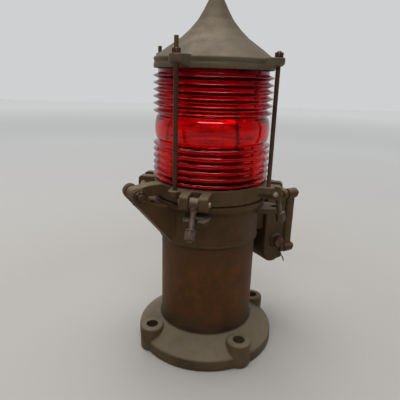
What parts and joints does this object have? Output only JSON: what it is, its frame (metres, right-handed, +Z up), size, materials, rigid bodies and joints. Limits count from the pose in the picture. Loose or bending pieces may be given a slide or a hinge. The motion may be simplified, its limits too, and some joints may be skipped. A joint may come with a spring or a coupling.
{
  "type": "navigation light",
  "caption": "Cast pedestal navigation light: hinged lantern head with a ribbed red globe, swing-bolt clamps, side terminal box and a bolted foot.",
  "frame": {"origin": "centre of the flat underside of the foot, on the lamp axis", "axes": "+Z up along the lamp axis; the hinge of the lantern head lies at 212 degrees round the axis from +X and the terminal box at 32 degrees"},
  "size_m": [0.2888, 0.2549, 0.566],
  "materials": {
    "bronze_base": "weathered cast bronze, matt",
    "bronze_body": "brown patinated cast bronze, matt",
    "bronze_head": "khaki patinated cast bronze, matt",
    "rod_bronze": "dark tarnished bar",
    "nut_bronze": "dark tarnished, worn edges",
    "bright_brass": "clean, tinned",
    "rubber": "matt",
    "red_glass": "pressed, ribbed, glossy",
    "bulb_glass": "thin, glossy",
    "phenolic": "moulded",
    "ceramic": "glazed",
    "filament": "drawn wire"
  },
  "bodies": {
    "housing": {"base_casting": "bronze_base", "upper_housing": "bronze_body", "seam_gasket": "rubber", "hinge_pin": "rod_bronze", "hinge_washer": "nut_bronze", "hinge_cotter": "nut_bronze", "terminal_box": "bronze_head", "box_cover": "bronze_head", "cover_gasket": "rubber", "cover_screw_1": "nut_bronze", "cover_screw_2": "nut_bronze", "cover_screw_3": "nut_bronze", "cover_screw_4": "nut_bronze", "entry_plug": "nut_bronze", "tab_cotter": "nut_bronze", "terminal_block": "phenolic", "terminal_screw_1": "bright_brass", "terminal_screw_2": "bright_brass", "terminal_screw_3": "bright_brass", "lamp_shelf": "bronze_head", "lamp_post": "bronze_head", "lamp_socket": "ceramic", "lamp_shell": "bright_brass", "lamp_bulb": "bulb_glass", "lamp_stem": "ceramic", "lamp_filament": "filament"},
    "head": {"lens_ring": "bronze_head", "lower_lens_gasket": "rubber", "upper_lens_gasket": "rubber", "lens_globe": "red_glass", "cap": "bronze_head", "tie_rod_1": "rod_bronze", "tie_rod_2": "rod_bronze", "tie_rod_3": "rod_bronze", "tie_rod_4": "rod_bronze", "rod_nut_1": "nut_bronze", "rod_nut_2": "nut_bronze", "rod_nut_3": "nut_bronze", "rod_nut_4": "nut_bronze", "clevis_pin_1": "nut_bronze", "clevis_pin_2": "nut_bronze", "clevis_pin_3": "nut_bronze", "clevis_pin_4": "nut_bronze"},
    "clamp_1": {"swing_bolt_1": "rod_bronze", "clamp_washer_1": "nut_bronze", "clamp_nut_1": "nut_bronze"},
    "clamp_2": {"swing_bolt_2": "rod_bronze", "clamp_washer_2": "nut_bronze", "clamp_nut_2": "nut_bronze"},
    "clamp_3": {"swing_bolt_3": "rod_bronze", "clamp_washer_3": "nut_bronze", "clamp_nut_3": "nut_bronze"},
    "clamp_4": {"swing_bolt_4": "rod_bronze", "clamp_washer_4": "nut_bronze", "clamp_nut_4": "nut_bronze"}
  },
  "joints": [
    {"name": "head_hinge", "type": "hinge", "parent": "housing", "child": "head", "pos_m": [-0.10855, -0.06783, 0.266], "axis": [0.5299, -0.848, 0], "range_deg": [0, 105]},
    {"name": "clamp_1_swing", "type": "hinge", "parent": "head", "child": "clamp_1", "pos_m": [-0.02004, -0.10307, 0.265], "axis": [-0.9816, 0.1908, 0], "range_deg": [-28, 72]},
    {"name": "clamp_2_swing", "type": "hinge", "parent": "head", "child": "clamp_2", "pos_m": [0.10307, -0.02004, 0.265], "axis": [-0.1908, -0.9816, 0], "range_deg": [-14, 86]},
    {"name": "clamp_3_swing", "type": "hinge", "parent": "head", "child": "clamp_3", "pos_m": [0.02004, 0.10307, 0.265], "axis": [0.9816, -0.1908, 0], "range_deg": [-14, 86]},
    {"name": "clamp_4_swing", "type": "hinge", "parent": "head", "child": "clamp_4", "pos_m": [-0.10307, 0.02004, 0.265], "axis": [0.1908, 0.9816, 0], "range_deg": [-28, 72]}
  ]
}
